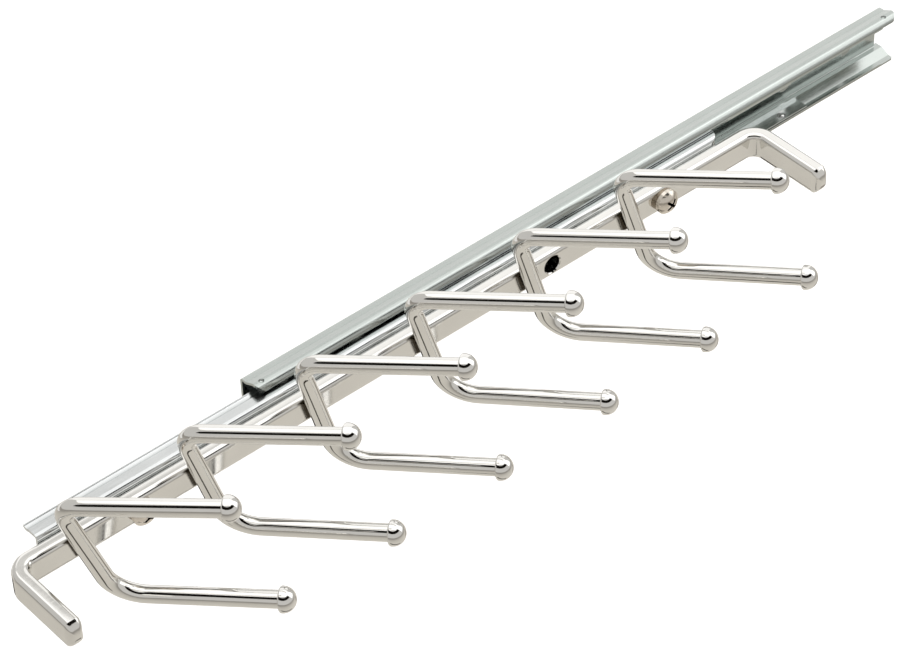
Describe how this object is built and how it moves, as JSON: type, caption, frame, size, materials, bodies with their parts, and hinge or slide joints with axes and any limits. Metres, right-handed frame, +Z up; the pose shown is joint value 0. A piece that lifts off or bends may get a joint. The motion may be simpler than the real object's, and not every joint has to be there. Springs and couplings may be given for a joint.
{
  "type": "sliding tie rack",
  "caption": "Wall-mounted pull-out tie rack: bent flat bar with two-armed wire hooks on a ball-bearing slide.",
  "frame": {"origin": "middle of the wall rail's flat back face, on the line of its screw holes", "axes": "+X along the slide, the way the rack pulls out; +Y away from the wall; +Z up"},
  "size_m": [0.4134, 0.0753, 0.07],
  "materials": {
    "zinc_rail": "bright zinc plating on rolled steel",
    "zinc_slide": "bright zinc plating on rolled steel",
    "cage_steel": "plain strip steel",
    "ball_steel": "polished ball steel",
    "chrome_bar": "polished chrome plating",
    "chrome_wire": "polished chrome plating",
    "chrome_tip": "polished chrome plating",
    "nickel_screw": "warm nickel plating"
  },
  "bodies": {
    "wall_rail_body": {"wall_rail": "zinc_rail"},
    "rack": {"sliding_rail": "zinc_slide", "tie_bar": "chrome_bar", "front_bar_screw": "nickel_screw", "rear_bar_screw": "nickel_screw", "front_screw_washer": "nickel_screw", "rear_screw_washer": "nickel_screw", "hook_1": "chrome_wire", "hook_2": "chrome_wire", "hook_3": "chrome_wire", "hook_4": "chrome_wire", "hook_5": "chrome_wire", "hook_6": "chrome_wire", "hook_1_upper_tip": "chrome_tip", "hook_2_upper_tip": "chrome_tip", "hook_3_upper_tip": "chrome_tip", "hook_4_upper_tip": "chrome_tip", "hook_5_upper_tip": "chrome_tip", "hook_6_upper_tip": "chrome_tip", "hook_1_lower_tip": "chrome_tip", "hook_2_lower_tip": "chrome_tip", "hook_3_lower_tip": "chrome_tip", "hook_4_lower_tip": "chrome_tip", "hook_5_lower_tip": "chrome_tip", "hook_6_lower_tip": "chrome_tip"},
    "upper_cage": {"upper_ball_cage": "cage_steel", "upper_balls": "ball_steel"},
    "lower_cage": {"lower_ball_cage": "cage_steel", "lower_balls": "ball_steel"}
  },
  "joints": [
    {"name": "rack_slide", "type": "slide", "parent": "wall_rail_body", "child": "rack", "axis": [1, 0, 0], "range_m": [-0.0934, 0.1166]},
    {"name": "upper_cage_slide", "type": "slide", "parent": "wall_rail_body", "child": "upper_cage", "axis": [1, 0, 0], "range_m": [-0.0467, 0.0583]},
    {"name": "lower_cage_slide", "type": "slide", "parent": "wall_rail_body", "child": "lower_cage", "axis": [1, 0, 0], "range_m": [-0.0467, 0.0583]}
  ],
  "couplings": [
    {"joint": "upper_cage_slide", "follows": "rack_slide", "ratio": 0.5},
    {"joint": "lower_cage_slide", "follows": "rack_slide", "ratio": 0.5}
  ]
}
